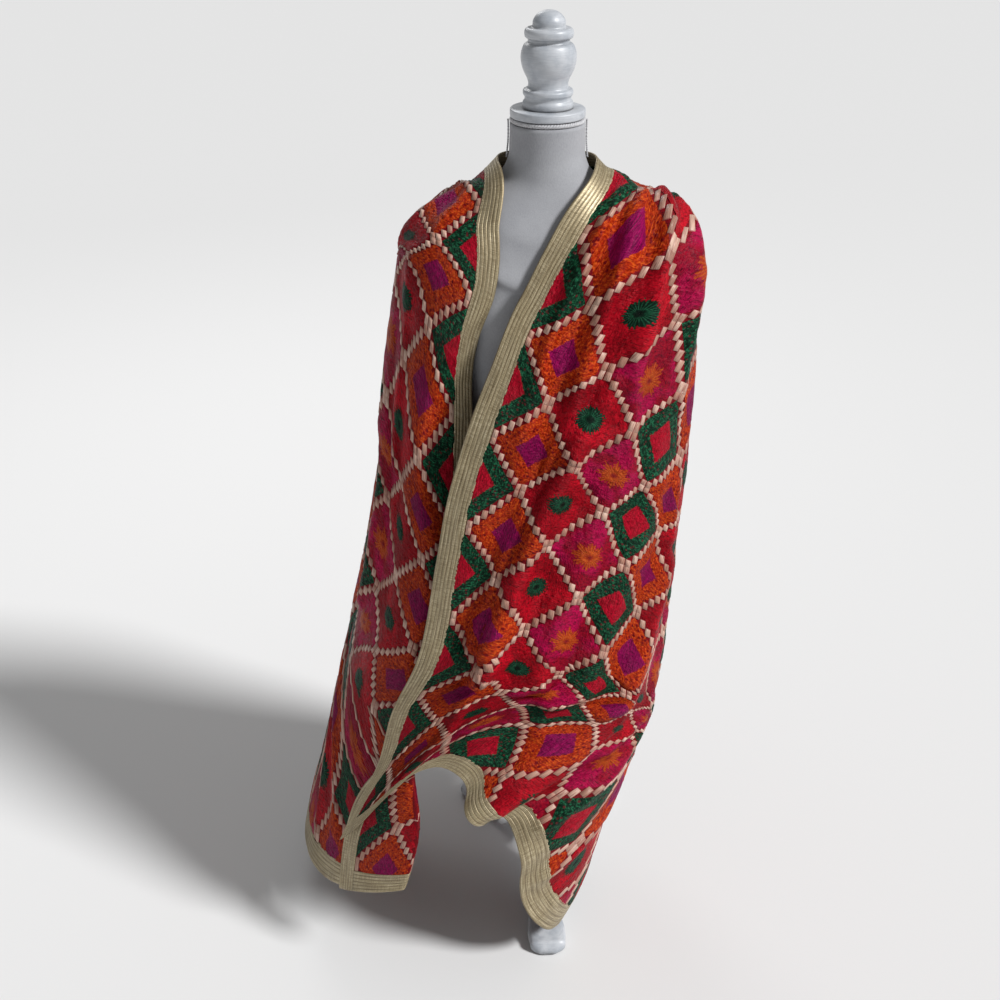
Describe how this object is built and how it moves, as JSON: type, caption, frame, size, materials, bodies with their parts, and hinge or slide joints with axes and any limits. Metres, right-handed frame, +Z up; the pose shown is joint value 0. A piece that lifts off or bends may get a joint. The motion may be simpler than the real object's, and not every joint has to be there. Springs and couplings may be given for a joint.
{
  "type": "shawl wrap on a dress form with a stand",
  "caption": "Embroidered shawl draped as a wrap over a limbless dress form on a three-legged stand, one front crossing over the other.",
  "frame": {"origin": "on the floor, under the middle of the whole model", "axes": "+Z up, -Y the wearer's front, +X the wearer's left"},
  "size_m": [0.6464, 0.5648, 1.492],
  "materials": {
    "embroidery": "red cloth covered with silky satin-stitch embroidery",
    "trim": "ribbed metallic ribbon",
    "jersey": "pale grey knitted cover, matt",
    "paint": "white satin paint",
    "cord": "twisted grey cord with a slight shine"
  },
  "bodies": {
    "root": {"shawl_left_front": "embroidery", "shawl_back": "embroidery", "shawl_right_front": "embroidery", "trim_left_end": "trim", "trim_right_end": "trim", "trim_neck": "trim", "trim_outer": "trim", "dress_form": "jersey", "neck_plate": "paint", "finial": "paint", "neck_cord": "cord", "side_cord_left": "cord", "side_cord_right": "cord", "stand_pole": "paint", "stand_hub": "paint", "stand_leg_front": "paint", "stand_leg_left": "paint", "stand_leg_right": "paint"}
  },
  "joints": []
}
